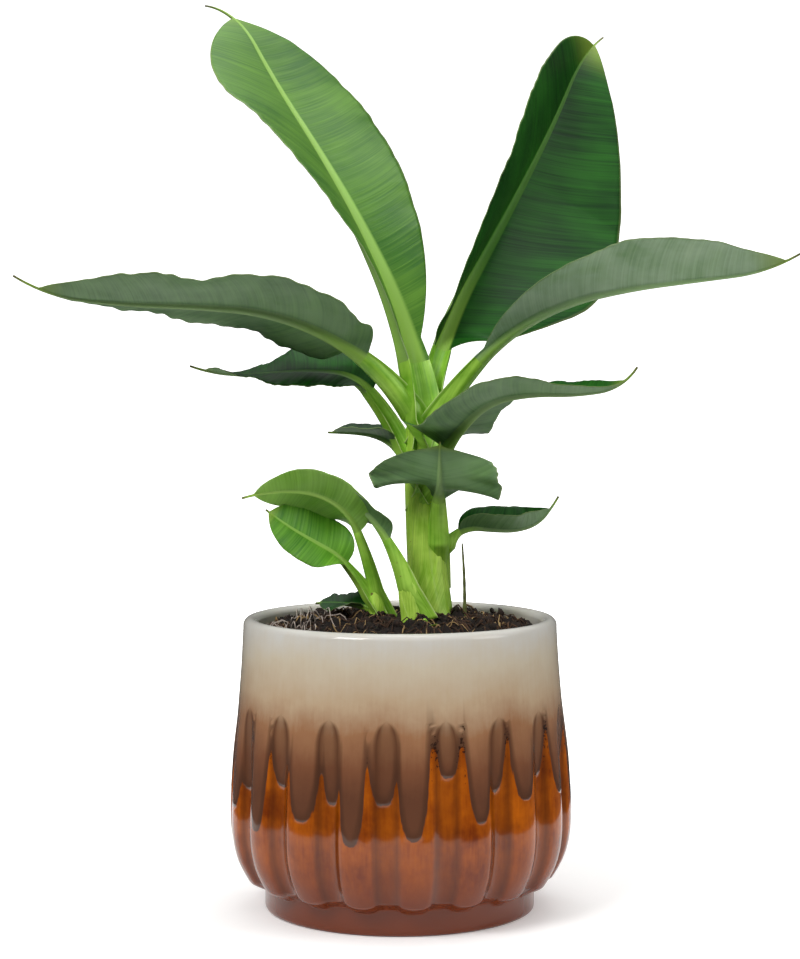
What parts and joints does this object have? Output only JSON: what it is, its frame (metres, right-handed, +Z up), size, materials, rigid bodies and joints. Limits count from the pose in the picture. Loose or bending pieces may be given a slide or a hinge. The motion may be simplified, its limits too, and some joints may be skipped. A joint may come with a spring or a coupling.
{
  "type": "potted banana plant",
  "caption": "Young banana plant with a short pseudostem, spreading blades and side shoots, in a round fluted glazed pot.",
  "frame": {"origin": "centre of the pot's flat underside", "axes": "+Z straight up the pot's axis, +X to the plant's right as met from the front, +Y away behind it"},
  "size_m": [0.6125, 0.4203, 0.7533],
  "materials": {
    "glaze": "glossy drip glaze, pale cream rim running over amber brown",
    "soil": "loose dark fibrous potting soil",
    "stem": "smooth satin light green sheaths",
    "leaf_limb": "smooth satin light green stalk and midrib",
    "leaf_blade": "glossy green above, grey-green bloom below",
    "dry": "dry matt brown"
  },
  "bodies": {
    "root": {"cut_leaf_blade": "leaf_blade", "cut_leaf_limb": "leaf_limb", "cut_stub": "stem", "dry_spike": "dry", "front_cup_blade": "leaf_blade", "front_cup_limb": "leaf_limb", "left_arm_blade": "leaf_blade", "left_arm_limb": "leaf_limb", "low_left_blade": "leaf_blade", "low_left_limb": "leaf_limb", "low_right_blade": "leaf_blade", "low_right_limb": "leaf_limb", "main_stem": "stem", "pot": "glaze", "pup_arch_blade": "leaf_blade", "pup_arch_limb": "leaf_limb", "pup_bright_blade": "leaf_blade", "pup_bright_limb": "leaf_limb", "pup_low_blade": "leaf_blade", "pup_low_limb": "leaf_limb", "pup_stem_left": "stem", "pup_stem_right": "stem", "right_arm_blade": "leaf_blade", "right_arm_limb": "leaf_limb", "small_left_blade": "leaf_blade", "small_left_limb": "leaf_limb", "small_right_blade": "leaf_blade", "small_right_limb": "leaf_limb", "soil": "soil", "tall_left_blade": "leaf_blade", "tall_left_limb": "leaf_limb", "tall_right_blade": "leaf_blade", "tall_right_limb": "leaf_limb"}
  },
  "joints": []
}
